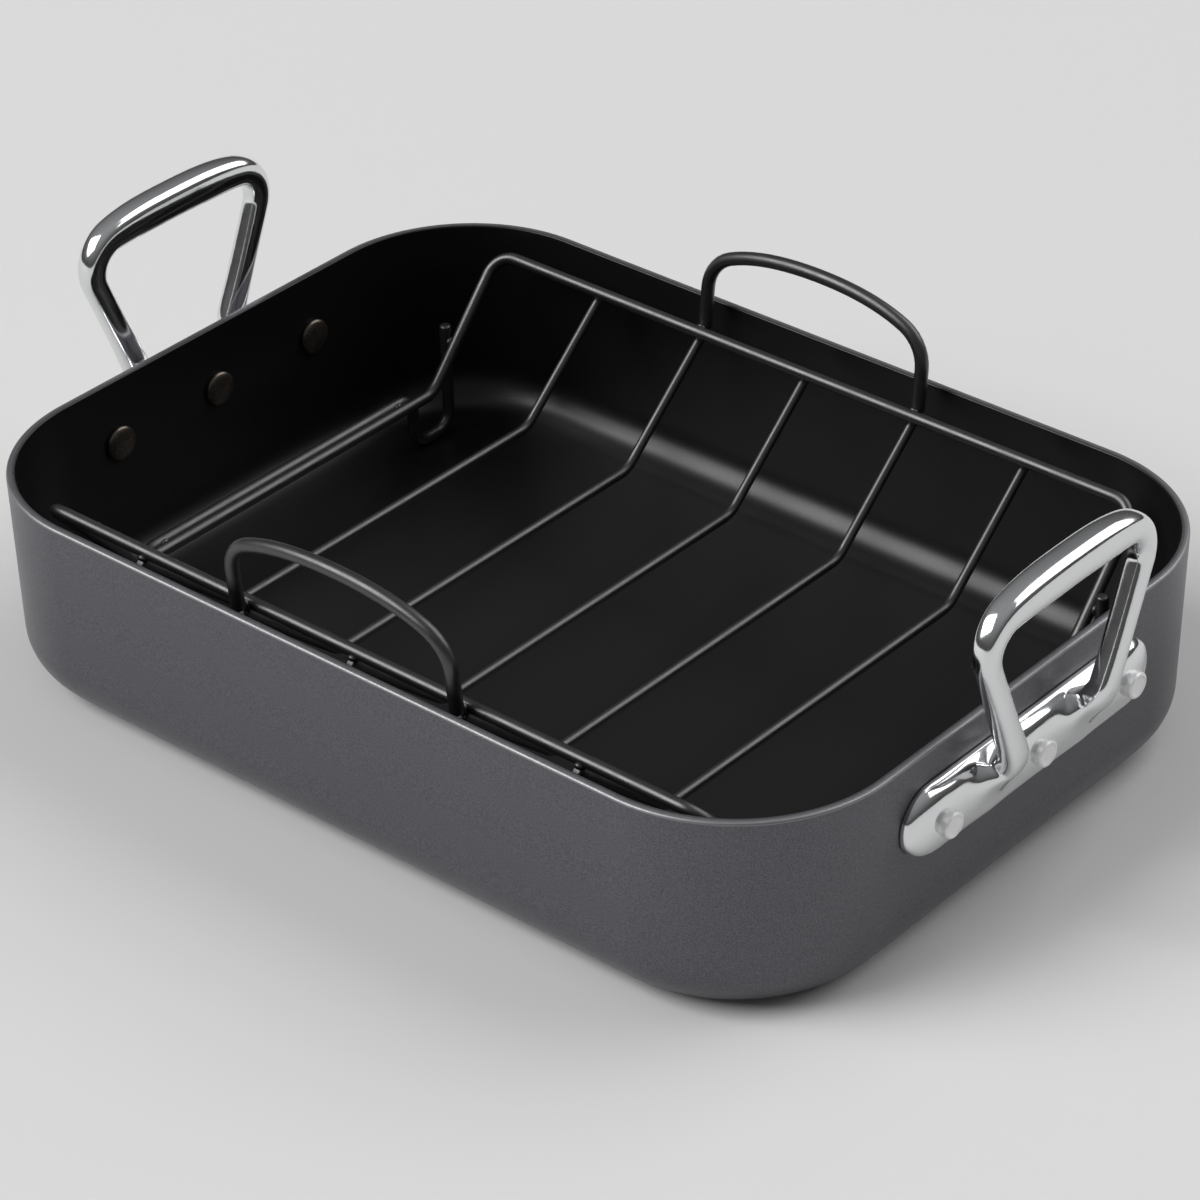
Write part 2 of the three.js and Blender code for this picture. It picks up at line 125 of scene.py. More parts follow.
def skin(name, rings, loop=False, sharp=SHARP_EDGE):
    """A closed piece over rings[..., i, j] in millimetres: quads from ring to ring and round each ring.

    With loop the last ring joins the first; otherwise a flat face closes each end.
    """
    count, sides = rings.shape[-3:-1]
    index = np.arange(rings.size // 3).reshape(-1, count, sides)
    if loop:
        index = np.concatenate([index, index[:, :1]], 1)
    beside = np.roll(index, -1, 2)
    quads = np.stack([index[:, :-1], beside[:, :-1], beside[:, 1:], index[:, 1:]], -1).reshape(-1, 4)
    ends = [] if loop else index[:, 0, ::-1].tolist() + index[:, -1].tolist()
    mesh = bpy.data.meshes.new(name)
    mesh.from_pydata((rings.reshape(-1, 3) * MM).tolist(), [], quads.tolist() + ends)
    mesh.polygons.foreach_set("use_smooth", np.arange(len(quads) + len(ends)) < len(quads))
    mesh.set_sharp_from_angle(angle=sharp)
    piece = bpy.data.objects.new(name, mesh)
    bpy.context.scene.collection.objects.link(piece)
    return piece


def finish(name, colour, metallic):
    """A new material with these values on its shader, its node tree and that shader."""
    material = bpy.data.materials.new(name)
    material.use_nodes = True
    shader = material.node_tree.nodes["Principled BSDF"]
    shader.inputs["Base Color"].default_value = colour
    shader.inputs["Metallic"].default_value = metallic
    return material, material.node_tree, shader


def noise(tree, scale, detail=2.0, roughness=0.5):
    """A noise pattern on Object coordinates; scale is about one over the size of its grains in metres."""
    place = tree.nodes.new("ShaderNodeTexCoord")
    pattern = tree.nodes.new("ShaderNodeTexNoise")
    pattern.inputs["Scale"].default_value = scale
    pattern.inputs["Detail"].default_value = detail
    pattern.inputs["Roughness"].default_value = roughness
    tree.links.new(place.outputs["Object"], pattern.inputs["Vector"])
    return pattern.outputs["Fac"]


def blend_colours(tree, factor, low, high, first, second):
    """A colour that goes from the first to the second as the factor goes from low to high."""
    ramp = tree.nodes.new("ShaderNodeValToRGB")
    ramp.color_ramp.elements[0].position, ramp.color_ramp.elements[1].position = low, high
    ramp.color_ramp.elements[0].color, ramp.color_ramp.elements[1].color = first, second
    tree.links.new(factor, ramp.inputs["Fac"])
    return ramp.outputs["Color"]


def roughen(tree, shader, pattern, smooth, rough):
    """Lets the shader's roughness go from smooth to rough as a pattern goes from its low to its high."""
    span = tree.nodes.new("ShaderNodeMapRange")
    for socket, value in zip(span.inputs[1:5], (PATTERN_LOW, PATTERN_HIGH, smooth, rough)):
        socket.default_value = value
    tree.links.new(pattern, span.inputs["Value"])
    tree.links.new(span.outputs["Result"], shader.inputs["Roughness"])


def bump(tree, shader, height, strength, distance):
    """Raises the surface by a height pattern, over any bump that the shader already has."""
    lift = tree.nodes.new("ShaderNodeBump")
    lift.inputs["Strength"].default_value = strength
    lift.inputs["Distance"].default_value = distance
    tree.links.new(height, lift.inputs["Height"])
    if shader.inputs["Normal"].links:
        tree.links.new(shader.inputs["Normal"].links[0].from_socket, lift.inputs["Normal"])
    tree.links.new(lift.outputs["Normal"], shader.inputs["Normal"])


anodised, tree, shader = finish("hard_anodised", ANODISED_DARK, metallic=0.55)
grain = noise(tree, scale=1600, detail=3.0, roughness=0.65)
speckle = blend_colours(tree, grain, 0.32, 0.7, ANODISED_DARK, ANODISED_LIGHT)
tree.links.new(speckle, shader.inputs["Base Color"])
roughen(tree, shader, noise(tree, scale=22), 0.35, 0.41)
bump(tree, shader, grain, strength=0.16, distance=0.00012)

bright_edge, tree, shader = finish("bright_rim_edge", BARE_ALUMINIUM, metallic=1.0)
roughen(tree, shader, noise(tree, scale=900), 0.44, 0.56)

non_stick, tree, shader = finish("non_stick_black", NON_STICK_BLACK, metallic=0.0)
shader.inputs["Specular IOR Level"].default_value = 0.4
peel = noise(tree, scale=1100, detail=2.0, roughness=0.6)
roughen(tree, shader, peel, 0.31, 0.37)
bump(tree, shader, peel, strength=0.12, distance=0.00012)

profile, strip_finish = pan_profile()
centres, normals = pan_outline()
reach = (PAN_CORNER_RADIUS - profile[:, 0])[:, None, None]
plan = centres + normals * reach
height = np.broadcast_to(profile[:, 1][:, None, None], plan.shape[:2] + (1,))
pan = skin("pan_tub", np.concatenate([plan, height], -1))
for material in (anodised, bright_edge, non_stick):
    pan.data.materials.append(material)
face_finish = np.concatenate([np.repeat(strip_finish[:-1], len(centres)), [0, 2]])
pan.data.polygons.foreach_set("material_index", face_finish.astype(np.int32))
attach(pan, "pan")
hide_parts("pan_body")

# Handles: bail and flange in one steel casting, ground and polished to a mirror, one on each end wall.
# The flange is a long half-round bar that lies flat on the wall; the bail rises out of it on two
# slanting legs, slim at the foot, and thickens into a bowed grip with flattened faces.
FLANGE_LENGTH, FLANGE_HEIGHT, FLANGE_THICKNESS = 146.0, 29.0, 8.2
FLANGE_EDGE = 1.6
FLANGE_BELOW_RIM = 28.0
FLANGE_COLUMNS, FLANGE_END_CROWN = (45.0, 53.0), (0.98, 0.94, 0.82, 0.56, 0.18)
SECTION_RISE = (-1, -1, -0.86, -0.45, 0, 0.45, 0.86, 1, 1, 0.86, 0.45, 0, -0.45, -0.86)
SECTION_CROWN = (0, 0, 0.62, 0.96, 1.05, 0.96, 0.62, 0, 0, 0, 0, 0, 0, 0)
SECTION_EDGE = (0, 1, 1, 1, 1, 1, 1, 1, 0, 0, 0, 0, 0, 0)
FLANK_RISE = (0, 0, 0, 0, 2.5, 2.5, 1.3, 0, 0, 0, 0, 0, 0, 0)
FOOT_RISE = (0, 0, 0, -2.0, -4.0, 0, 1.7, 0, 0, 0, 0, 0, 0, 0)
FLANK_DIP, FOOT_DIP, DIP_ROW = 0.44, 0.57, 6
SEAT_GAP = 0.3
ROOT_SPAN, ROOT_RISE = 54.0, 4.0
ELBOW_STANDOFF, ELBOW_SPAN, ELBOW_RISE, ELBOW_RADIUS = 14.6, 49.0, 10.0, 14.0
TOP_SPAN, SHOULDER_RADIUS = 103.0, 14.0
GRIP_STANDOFF, GRIP_ABOVE_RIM, GRIP_CROWN = 13.1, 53.5, 6.0
GRIP_THICKNESS, GRIP_DEPTH, LEG_THICKNESS = 13.0, 14.5, 9.6
NECK_REACH, NECK_HALF, FOOT_FLARE, NECK_CREASE = 11.3, 10.0, 1.6, 0.5
SLIM_START, SLIM_RUN = 0.125 * TOP_SPAN, 0.495 * TOP_SPAN
CAGE_FACE, CAGE_CORNER, CAGE_END = 1.045, 1.288, 1.026
BEND_STEP = math.radians(11)
BOW_STEPS, LEG_STEPS, CASTING_LEVELS = 7, 5, 3
STEEL = (0.76, 0.765, 0.775, 1)
rivet_height = PAN_HEIGHT - FLANGE_BELOW_RIM


def round_corner(before, at, after, radius):
    """The arc that rounds the corner at a point between two straight runs.

    centre + spoke cos a + travel sin a, with a from 0 to the turn between the runs.
    """
    back = (before - at) / np.linalg.norm(before - at)
    ahead = (after - at) / np.linalg.norm(after - at)
    half = math.acos(np.clip(back @ ahead, -1, 1)) / 2
    middle = (back + ahead) / np.linalg.norm(back + ahead)
    centre = at + middle * radius / math.sin(half)
    spoke = at + back * radius / math.tan(half) - centre
    turn = math.pi - 2 * half
    angle = np.linspace(0, turn, max(2, math.ceil(turn / BEND_STEP)) + 1)[:, None]
    return centre + spoke * np.cos(angle) - back * radius * np.sin(angle)


def bowed(top, crown, end, steps):
    """A quadratic curve from the top of an arch to its shoulder, level at the top."""
    share = np.linspace(0, 1, steps + 1)[:, None]
    return top * (1 - share) ** 2 + crown * 2 * share * (1 - share) + end * share ** 2


def bail_line():
    """Half of the bail's centre line in handle coordinates, from the middle of the grip to the neck.

    x leads out from the wall, y along it and z up it; the line is a bow, a shoulder arc, a straight leg
    and an elbow arc that turns in towards the flange.
    """
    grip = FLANGE_BELOW_RIM + GRIP_ABOVE_RIM
    top = np.array([GRIP_STANDOFF, 0.0, grip])
    crown = np.array([GRIP_STANDOFF, TOP_SPAN / 4, grip])
    shoulder = np.array([GRIP_STANDOFF, TOP_SPAN / 2, grip - GRIP_CROWN])
    elbow = np.array([ELBOW_STANDOFF, ELBOW_SPAN / 2, ELBOW_RISE])
    root = np.array([SEAT_GAP + FLANGE_THICKNESS / 2, ROOT_SPAN / 2, ROOT_RISE])
    upper = round_corner(crown, shoulder, elbow, SHOULDER_RADIUS)
    lower = round_corner(shoulder, elbow, root, ELBOW_RADIUS)
    leg = upper[-1] + (lower[0] - upper[-1]) * np.linspace(0, 1, LEG_STEPS + 1)[1:-1, None]
    line = np.vstack([bowed(top, crown, upper[0], BOW_STEPS), upper[1:], leg, lower])
    return line[line[:, 0] > NECK_REACH]


def bail_rings():
    """Cage rings of eight points round half of the bail, a rounded square that slims towards the leg.

    Each ring's axes are the last ring's, turned by the bend between them, so the section never twists.
    """
    line = bail_line()
    ahead = np.gradient(line, axis=0)
    ahead /= np.linalg.norm(ahead, axis=1)[:, None]
    ahead[0] = (0, 1, 0)
    across = [np.array([1.0, 0.0, 0.0])]
    for direction in ahead[1:]:
        turned = across[-1] - direction * (across[-1] @ direction)
        across.append(turned / np.linalg.norm(turned))
    across = np.array(across)
    beside = np.cross(ahead, across)
    length = np.concatenate([[0], np.cumsum(np.linalg.norm(np.diff(line, axis=0), axis=1))])
    slim = np.clip((length - SLIM_START) / SLIM_RUN, 0, 1)
    slim = (slim * slim * (3 - 2 * slim))[:, None, None]
    near_foot = (ELBOW_RISE + ELBOW_RADIUS * 2 - line[:, 2]) / (ELBOW_RADIUS * 2)
    flare = np.clip(near_foot, 0, 1)[:, None, None] ** 2
    thick = (GRIP_THICKNESS + (LEG_THICKNESS - GRIP_THICKNESS) * slim) / 2
    deep = (GRIP_DEPTH + (LEG_THICKNESS - GRIP_DEPTH) * slim) / 2 + FOOT_FLARE * flare
    angle = np.arange(8) * math.pi / 4
    push = np.where(np.arange(8) % 2 == 0, CAGE_FACE, CAGE_CORNER)
    cosine = (push * np.cos(angle))[None, :, None]
    sine = (push * np.sin(angle))[None, :, None]
    return line[:, None] + across[:, None] * thick * cosine + beside[:, None] * deep * sine


def flange_cage():
    """Cage of the flange, columns along its length by fourteen points round its half-round section.

    Points 1 to 7 of a column lie on the crowned front, 8 to 13 and 0 on the flat back. Past the straight
    middle the columns follow a half circle, and the crown grows lower towards the flange's ends. Round
    each leg the front points follow the foot's diamond: high on its two flanks, low under its middle,
    and up at the flange's top edge behind it.
    """
    half = FLANGE_HEIGHT / 2
    straight = FLANGE_LENGTH / 2 - half
    root = ROOT_SPAN / 2
    turn = np.linspace(0, 3 / 4, 4) * math.pi / 2
    bulge = CAGE_END * half
    inner = [0, root / 3, root - NECK_HALF, root, root + NECK_HALF, *FLANGE_COLUMNS]
    along = np.concatenate([inner, straight + bulge * np.sin(turn)])
    tall = np.concatenate([np.full(len(inner), half), bulge * np.cos(turn)])
    full = np.concatenate([np.ones(len(along) - len(FLANGE_END_CROWN)), FLANGE_END_CROWN])
    along = np.concatenate([-along[:0:-1], along])[:, None]
    tall, full = (np.concatenate([part[:0:-1], part])[:, None] for part in (tall, full))
    middle = np.isclose(np.abs(along), root)
    flank = np.isclose(np.abs(np.abs(along) - root), NECK_HALF)
    rise = tall * SECTION_RISE + flank * FLANK_RISE + middle * FOOT_RISE
    dip_row = np.arange(len(SECTION_CROWN)) == DIP_ROW
    crown = SECTION_CROWN - (FLANK_DIP * flank + FOOT_DIP * middle) * dip_row
    edge = np.array(SECTION_EDGE) * FLANGE_EDGE
    out = SEAT_GAP + edge + crown * (FLANGE_THICKNESS - FLANGE_EDGE) * full
    along = np.broadcast_to(along, out.shape).copy()
    for column, end in ((0, -1), (-1, 1)):
        along[column] = end * (straight + np.sqrt(bulge ** 2 - rise[column] ** 2))
    return np.stack([out, along, rise], -1)


def handle_cage():
    """Points, faces, sharp edges and softer edges of one handle: the flange with the bail let into it.

    Four quads of the flange's front are left out under each leg, and the eight points round that window
    join the eight points of the neck's last ring. The flange's back outline is sharp; the two back corners
    of the neck and the flanks of its foot are softer edges.
    """
    flange = flange_cage()
    columns, rows = flange.shape[:2]
    index = np.arange(columns * rows).reshape(columns, rows)
    beside = np.roll(index, -1, 1)
    quads = np.stack([index[:-1], index[1:], beside[1:], beside[:-1]], -1)
    middle = columns // 2
    window = np.zeros(quads.shape[:2], bool)
    for column in (middle + 2, middle - 4):
        window[column:column + 2, 4:6] = True
    faces = [quads[~window]]
    front = np.arange(1, 7)
    back = np.array([0, 13, 12, 11, 10, 9, 8])
    for column, turn in ((0, 1), (columns - 1, -1)):
        cap = np.stack([index[column, front], index[column, front + 1],
                        index[column, back[1:]], index[column, back[:-1]]], -1)
        faces.append(cap[:, ::turn])
    half = bail_rings()
    mirrored = half[:0:-1] * [1, -1, 1]
    rings = np.concatenate([mirrored, half])
    tube = columns * rows + np.arange(rings.shape[0] * 8).reshape(-1, 8)
    edge_columns = np.array([3, 2, 2, 2, 3, 4, 4, 4])
    edge_rows = np.array([4, 4, 5, 6, 6, 6, 5, 4])
    near, far = index[middle - edge_columns, edge_rows], index[middle + edge_columns, edge_rows]
    tube = np.vstack([near, tube, far])
    round_tube = np.roll(tube, -1, 1)
    faces.append(np.stack([tube[:-1], round_tube[:-1], round_tube[1:], tube[1:]], -1).reshape(-1, 4))
    rims = [np.column_stack([index[:-1, row], index[1:, row]]) for row in (0, 8)]
    rims += [np.column_stack([index[column, back[:-1]], index[column, back[1:]]])
             for column in (0, columns - 1)]
    corner = np.stack([tube[:-1, [3, 5]], tube[1:, [3, 5]]], -1)
    flanks = tube[[0, -1]][:, [[2, 3], [5, 6]]]
    soft = np.concatenate([part.reshape(-1, 2) for part in (corner[:4], corner[-4:], flanks)])
    points = np.concatenate([flange.reshape(-1, 3), rings.reshape(-1, 3)])
    faces = np.concatenate(faces)
    used = np.unique(faces)
    return points[used], *(np.searchsorted(used, part) for part in (faces, np.concatenate(rims), soft))


def on_end_wall(points, side):
    """Handle coordinates put on the right (1) or left (-1) end wall, square to its slope."""
    lean, stand = math.sin(WALL_DRAFT), math.cos(WALL_DRAFT)
    x = PAN_LENGTH / 2 - wall_inset(rivet_height) + points[..., 0] * stand + points[..., 2] * lean
    z = rivet_height - points[..., 0] * lean + points[..., 2] * stand
    return np.stack([side * x, side * points[..., 1], z], -1)


polished, tree, shader = finish("polished_steel", STEEL, metallic=1.0)
roughen(tree, shader, noise(tree, scale=120, detail=3.0), 0.09, 0.15)
bump(tree, shader, noise(tree, scale=55), strength=0.13, distance=0.0012)
bump(tree, shader, noise(tree, scale=700, detail=1.0), strength=0.05, distance=0.0002)

cage_points, cage_faces, sharp_edges, soft_edges = handle_cage()
for end, side in (("left", -1), ("right", 1)):
    mesh = bpy.data.meshes.new(f"bail_handle_{end}")
    mesh.from_pydata((on_end_wall(cage_points, side) * MM).tolist(), [], cage_faces.tolist())
    mesh.polygons.foreach_set("use_smooth", np.ones(len(cage_faces), bool))
    mesh.materials.append(polished)
    pairs = np.zeros(len(mesh.edges) * 2, np.int32)
    mesh.edges.foreach_get("vertices", pairs)
    key, sharp_key, soft_key = (np.sort(part.reshape(-1, 2), 1) @ [1, len(cage_points)]
                                for part in (pairs, sharp_edges, soft_edges))
    crease = np.isin(key, sharp_key) + NECK_CREASE * np.isin(key, soft_key)
    mesh.attributes.new("crease_edge", "FLOAT", "EDGE").data.foreach_set("value", crease.astype(np.float32))
    handle = bpy.data.objects.new(mesh.name, mesh)
    bpy.context.scene.collection.objects.link(handle)
    smooth = handle.modifiers.new("smooth_casting", "SUBSURF")
    smooth.levels = smooth.render_levels = CASTING_LEVELS
    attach(handle, "pan")
    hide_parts(f"handle_{end}")

# Rivets: turned aluminium, three through each flange and end wall.
# The outer head is a low satin button with a rounded edge and a dished face;
# inside the pan the shank is set into a low dome that has taken on the dark coating.
RIVET_END_INSET = 17.2
RIVET_SHANK, RIVET_DOME, RIVET_DOME_HEIGHT, RIVET_DOME_EDGE = 6.5, 15.0, 2.6, 0.7
RIVET_HEAD, RIVET_HEAD_HEIGHT, RIVET_BEVEL = 10.6, 2.6, 1.0
RIVET_DISH, RIVET_SINK, RIVET_CENTRE = 0.35, 1.8, 1.0
DISH_LIP, DISH_SLOPE, EDGE_SUPPORT = 0.1, 0.8, 0.3
DOME_START = 0.06
RIVET_SIDES, DOME_STEPS, BEVEL_STEPS, DISH_STEPS = 64, 13, 8, 6
SATIN_ALUMINIUM, DARK_DOME = (0.86, 0.86, 0.865, 1), (0.135, 0.115, 0.098, 1)


def rivet_profile():
    """Rows of radius and distance out from the wall: the dome, the shank and the outer head.

    The second value is the row where the dome ends.
    """
    seat = -PAN_WALL - SEAT_GAP
    angle = np.linspace(DOME_START, 1, DOME_STEPS + 1) * math.pi / 2
    crown = (RIVET_DOME_HEIGHT - RIVET_DOME_EDGE) * np.cos(angle)
    dome = np.column_stack([RIVET_DOME / 2 * np.sin(angle), seat - RIVET_DOME_EDGE - crown])
    shank = RIVET_SHANK / 2
    face, head = SEAT_GAP * 2 + FLANGE_THICKNESS + RIVET_HEAD_HEIGHT, RIVET_HEAD / 2
    base = face - RIVET_HEAD_HEIGHT - RIVET_SINK
    stem = [[RIVET_DOME / 2, seat], [shank, seat], [shank, base], [head, base]]
    edge = [[head, base + EDGE_SUPPORT], [head, face - RIVET_BEVEL - EDGE_SUPPORT]]
    turned = arc((head - RIVET_BEVEL, face - RIVET_BEVEL), RIVET_BEVEL, 0, math.pi / 2, BEVEL_STEPS)
    fall = np.linspace(0, 1, DISH_STEPS + 1)
    lip = head - RIVET_BEVEL - DISH_LIP
    dished = np.column_stack([lip - DISH_SLOPE * fall, face - RIVET_DISH * fall ** 2 * (3 - 2 * fall)])
    middle = [[RIVET_CENTRE, face - RIVET_DISH]]
    return np.vstack([dome, stem, edge, turned, dished, middle]), len(dome) + 1


satin, tree, shader = finish("satin_aluminium", SATIN_ALUMINIUM, metallic=0.4)
roughen(tree, shader, noise(tree, scale=1500), 0.36, 0.5)
bump(tree, shader, noise(tree, scale=2200), strength=0.12, distance=0.0001)

coated_dome, tree, shader = finish("coated_rivet_dome", DARK_DOME, metallic=0.9)
roughen(tree, shader, noise(tree, scale=800), 0.24, 0.34)
bump(tree, shader, noise(tree, scale=1200), strength=0.12, distance=0.0001)

rivet_pitch = FLANGE_LENGTH / 2 - RIVET_END_INSET
rivet_rows, dome_rows = rivet_profile()
turn = np.arange(RIVET_SIDES) * 2 * math.pi / RIVET_SIDES
radius, out = rivet_rows[:, :1], rivet_rows[:, 1:]
out = np.broadcast_to(out, (len(out), RIVET_SIDES))
rivet_shape = np.stack([out, radius * np.cos(turn), radius * np.sin(turn)], -1)
on_dome = np.repeat(np.arange(len(rivet_rows) - 1) < dome_rows, RIVET_SIDES)
rivet_finish = np.concatenate([on_dome, [True, False]]).astype(np.int32)
for end, side in (("left", -1), ("right", 1)):
    for place, offset in (("front", -rivet_pitch), ("middle", 0.0), ("rear", rivet_pitch)):
        rivet = skin(f"turned_rivet_{end}_{place}", on_end_wall(rivet_shape + [0, side * offset, 0], side))
        rivet.data.materials.append(satin)
        rivet.data.materials.append(coated_dome)
        rivet.data.polygons.foreach_set("material_index", rivet_finish)
        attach(rivet, "pan")
        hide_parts(f"rivet_{end}_{place}")

# Rack frame: one steel wire bent into two side rails that turn down at each end into a trough-shaped
# end frame, butt-welded into a loop. The whole rack is dipped in a black semi-gloss coating,
# which rounds the cut ends of its wires.
FRAME_WIRE = 5.0
RACK_SIDE_CLEARANCE, RACK_END_CLEARANCE = 12.5, 36.0
RAIL_ABOVE_FLOOR, FRAME_BOTTOM_ABOVE_FLOOR, FRAME_BOTTOM_WIDTH = 75.0, 26.5, 172.0
RAIL_BEND, BOTTOM_BEND = 10.0, 12.0
NEAR_BEND, NEAR_SHARE = 2.0, 0.3
WIRE_SIDES = 28
END_ROUND, END_STEPS = 0.22, 6
COATING_BLACK = (0.0085, 0.0085, 0.0088, 1)
rail_y = PAN_WIDTH / 2 - wall_across - RACK_SIDE_CLEARANCE - FRAME_WIRE / 2
rail_z = PAN_FLOOR + RAIL_ABOVE_FLOOR
end_x = PAN_LENGTH / 2 - wall_across - RACK_END_CLEARANCE - FRAME_WIRE / 2
bottom_y, bottom_z = FRAME_BOTTOM_WIDTH / 2, PAN_FLOOR + FRAME_BOTTOM_ABOVE_FLOOR


def bent(corners, radii, loop=False):
    """A wire's centre line through corners, each rounded to its radius, with a point near each bend."""
    corners = np.array(corners, float)
    before, after = np.roll(corners, 1, 0), np.roll(corners, -1, 0)
    if loop:
        bends = [round_corner(*spot) for spot in zip(before, corners, after, radii)]
        bends.append(bends[0][:1])
    else:
        inner = zip(before[1:-1], corners[1:-1], after[1:-1], radii)
        bends = [corners[:1], *(round_corner(*spot) for spot in inner), corners[-1:]]
    line = [bends[0]]
    for last, following in zip(bends, bends[1:]):
        run = following[0] - last[-1]
        near = run * min(NEAR_SHARE, NEAR_BEND / np.linalg.norm(run))
        line.append(np.vstack([last[-1] + near, following[0] - near, following]))
    line = np.vstack(line)
    return line[:-1] if loop else line


def wire_rings(line, diameter, never, loop=False):
    """Rings round a wire's centre line: point + radius (cos a normal + sin a binormal).

    The normal is the tangent crossed with a direction that the wire never runs along, so the rings don't
    twist. The cut ends of an open wire are rounded.
    """
    tangent = np.roll(line, -1, 0) - np.roll(line, 1, 0)
    radius = np.full(len(line), diameter / 2)
    if not loop:
        tangent[0], tangent[-1] = line[1] - line[0], line[-1] - line[-2]
    tangent /= np.linalg.norm(tangent, axis=1)[:, None]
    if not loop:
        angle = np.linspace(0, math.pi / 2, END_STEPS)
        inward = END_ROUND * diameter * (1 - np.cos(angle))[:, None]
        drawn = diameter / 2 - END_ROUND * diameter * (1 - np.sin(angle))
        line = np.vstack([line[0] + tangent[0] * inward, line[1:-1], line[-1] - tangent[-1] * inward[::-1]])
        copies = np.concatenate([[END_STEPS], np.ones(len(tangent) - 2, int), [END_STEPS]])
        tangent = np.repeat(tangent, copies, 0)
        radius = np.concatenate([drawn, radius[1:-1], drawn[::-1]])
    normal = np.cross(tangent, never)
    normal /= np.linalg.norm(normal, axis=1)[:, None]
    binormal = np.cross(tangent, normal)
    angle = np.arange(WIRE_SIDES)[:, None] * 2 * math.pi / WIRE_SIDES
    spoke = normal[:, None] * np.cos(angle) + binormal[:, None] * np.sin(angle)
    return line[:, None] + spoke * radius[:, None, None]


def hang_on_rack(piece, node):
    """Gives a piece of the rack its coating, hides the CAD part of that node, and lets it move with the
    rack.
    """
    piece.data.materials.append(coating)
    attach(piece, "rack")
    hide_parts(node)


coating, tree, shader = finish("black_dip_coating", COATING_BLACK, metallic=0.0)
shader.inputs["Specular IOR Level"].default_value = 1.0
roughen(tree, shader, noise(tree, scale=160), 0.33, 0.42)
bump(tree, shader, noise(tree, scale=750), strength=0.10, distance=0.0002)

end_frame = ((rail_y, rail_z), (bottom_y, bottom_z), (-bottom_y, bottom_z), (-rail_y, rail_z))
frame_corners = [(end * end_x, end * across, z) for end in (1, -1) for across, z in end_frame]
frame_bends = [RAIL_BEND, BOTTOM_BEND, BOTTOM_BEND, RAIL_BEND] * 2
frame_line = bent(frame_corners, frame_bends, loop=True)
frame_rings = wire_rings(frame_line, FRAME_WIRE, (0, 0, 1), loop=True)
hang_on_rack(skin("wire_frame", frame_rings, loop=True), "rack_frame")

# Cross wires: five thinner wires, each bent into a trough, that carry the load.
# Their ends pass under the rails and are spot-welded to them.
CROSS_WIRE = 4.0
CROSS_COUNT = 5
CROSS_BOTTOM_ABOVE_FLOOR = 30.5
CROSS_SLOPE = math.radians(40.5)
CROSS_END_OVERLAP = 1.0
WELD_GAP = 0.3
under_rail = (FRAME_WIRE + CROSS_WIRE) / 2 + WELD_GAP
cross_normal = np.array([math.sin(CROSS_SLOPE), -math.cos(CROSS_SLOPE)])
cross_down = np.array([cross_normal[1], -cross_normal[0]])
cross_top = np.array([rail_y, rail_z]) + cross_normal * under_rail - cross_down * CROSS_END_OVERLAP
cross_bottom_z = PAN_FLOOR + CROSS_BOTTOM_ABOVE_FLOOR
cross_bottom_y = cross_top[0] + (cross_bottom_z - cross_top[1]) * cross_down[0] / cross_down[1]
cross_x = (np.arange(1, CROSS_COUNT + 1) / (CROSS_COUNT + 1) * 2 - 1) * end_x
trough = [(0, -cross_top[0], cross_top[1]), (0, -cross_bottom_y, cross_bottom_z),
          (0, cross_bottom_y, cross_bottom_z), (0, cross_top[0], cross_top[1])]
cross_rings = wire_rings(bent(trough, [BOTTOM_BEND] * 2), CROSS_WIRE, (1, 0, 0))
for number, x in enumerate(cross_x, 1):
    hang_on_rack(skin(f"wire_cross_{number}", cross_rings + [x, 0, 0]), f"rack_cross_wire_{number}")

# Feet: a wire welded along the outside of each end frame's bottom, bent down at both sides into
# a narrow loop that stands on the pan floor. Past the loop it rises and ends on the frame's slope.
FOOT_WIRE, FOOT_BEND, FOOT_LOOP_WIDTH = 5.0, 8.0, 22.0
FOOT_WELD_ABOVE_BOTTOM, FOOT_END_ABOVE_WELD = 17.0, 7.5
foot_x = end_x + (FRAME_WIRE + FOOT_WIRE) / 2 + WELD_GAP
foot_sole = PAN_FLOOR + SEAT_GAP + FOOT_WIRE / 2
foot_weld_z = bottom_z + FOOT_WELD_ABOVE_BOTTOM
foot_outer = bottom_y + FOOT_WELD_ABOVE_BOTTOM * (rail_y - bottom_y) / (rail_z - bottom_z)
foot_inner = foot_outer - FOOT_LOOP_WIDTH
foot_half = np.array([(0, foot_inner, bottom_z), (0, foot_inner, foot_sole), (0, foot_outer, foot_sole),
                      (0, foot_outer, foot_weld_z + FOOT_END_ABOVE_WELD)])
foot_line = bent(np.vstack([foot_half[::-1] * [1, -1, 1], foot_half]), [FOOT_BEND] * 6)
foot_rings = wire_rings(foot_line, FOOT_WIRE, (1, 0, 0))
for end, sign in (("left", -1), ("right", 1)):
    hang_on_rack(skin(f"wire_foot_{end}", foot_rings + [sign * foot_x, 0, 0]), f"rack_foot_{end}")

